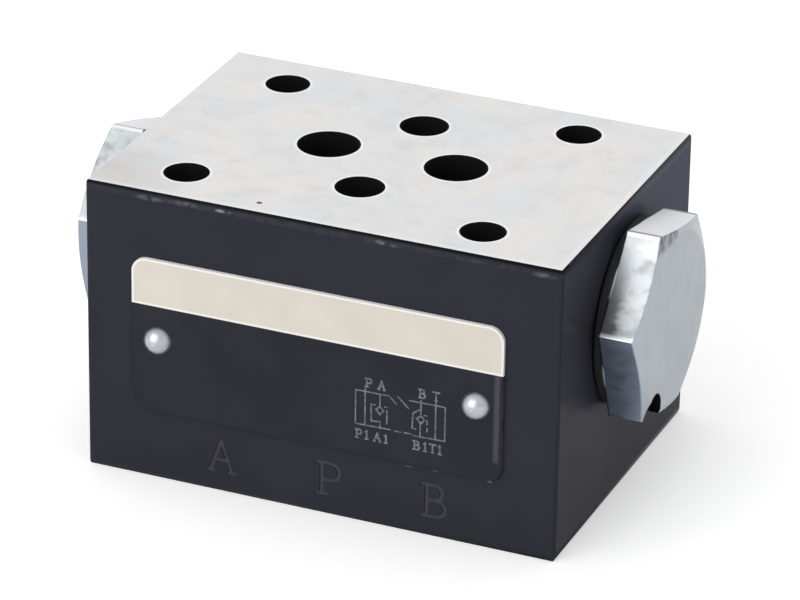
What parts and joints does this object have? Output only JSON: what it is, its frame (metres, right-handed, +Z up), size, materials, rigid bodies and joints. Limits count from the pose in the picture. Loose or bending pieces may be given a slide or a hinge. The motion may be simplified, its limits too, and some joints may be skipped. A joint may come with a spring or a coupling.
{
  "type": "hydraulic sandwich valve",
  "caption": "Sandwich plate valve block with ground faces, port and bolt holes, hex end plugs and a name plate; inside, a control spool lifts spring-closed check poppets.",
  "frame": {"origin": "centre of the port pattern on the base face, midway between the pressure and tank ports", "axes": "+X along the valve axis from end A to end B, +Y to the back, away from the name plate, +Z up from the base face to the top face"},
  "size_m": [0.0772, 0.0475, 0.04],
  "materials": {
    "blackened_body": "blackened sides, ground bare metal on the top and base faces",
    "name_plate": "printed plate: pale band over a black field",
    "plate_pins": "bright plated",
    "plated_plug": "bluish zinc plate, satin",
    "seal_rubber": "smooth black rubber",
    "support_ring": "white",
    "hardened_steel": "ground",
    "spring_wire": "drawn wire"
  },
  "bodies": {
    "housing": {"valve_body": "blackened_body", "name_plate": "name_plate", "name_plate_pins": "plate_pins", "plug_a": "plated_plug", "plug_b": "plated_plug", "plug_seal_a": "seal_rubber", "plug_seal_b": "seal_rubber", "seat_bush_a": "hardened_steel", "seat_bush_b": "hardened_steel", "bush_seal_a": "seal_rubber", "bush_seal_b": "seal_rubber", "support_ring_a": "support_ring", "support_ring_b": "support_ring", "poppet_spring_a": "spring_wire", "poppet_spring_b": "spring_wire", "port_seal_p": "seal_rubber", "port_seal_t": "seal_rubber", "port_seal_a": "seal_rubber", "port_seal_b": "seal_rubber"},
    "spool": {"control_spool": "hardened_steel"},
    "check_a": {"poppet_a": "hardened_steel"},
    "check_b": {"poppet_b": "hardened_steel"}
  },
  "joints": [
    {"name": "spool_slide", "type": "slide", "parent": "housing", "child": "spool", "axis": [1, 0, 0], "range_m": [-0.0012, 0.0012]},
    {"name": "poppet_a_lift", "type": "slide", "parent": "housing", "child": "check_a", "axis": [-1, 0, 0], "range_m": [0, 0.0024], "stiffness_N_per_m": 1500, "springref_m": -0.0032, "deforming": ["poppet_spring_a"]},
    {"name": "poppet_b_lift", "type": "slide", "parent": "housing", "child": "check_b", "axis": [1, 0, 0], "range_m": [0, 0.0024], "stiffness_N_per_m": 1500, "springref_m": -0.0032, "deforming": ["poppet_spring_b"]}
  ]
}
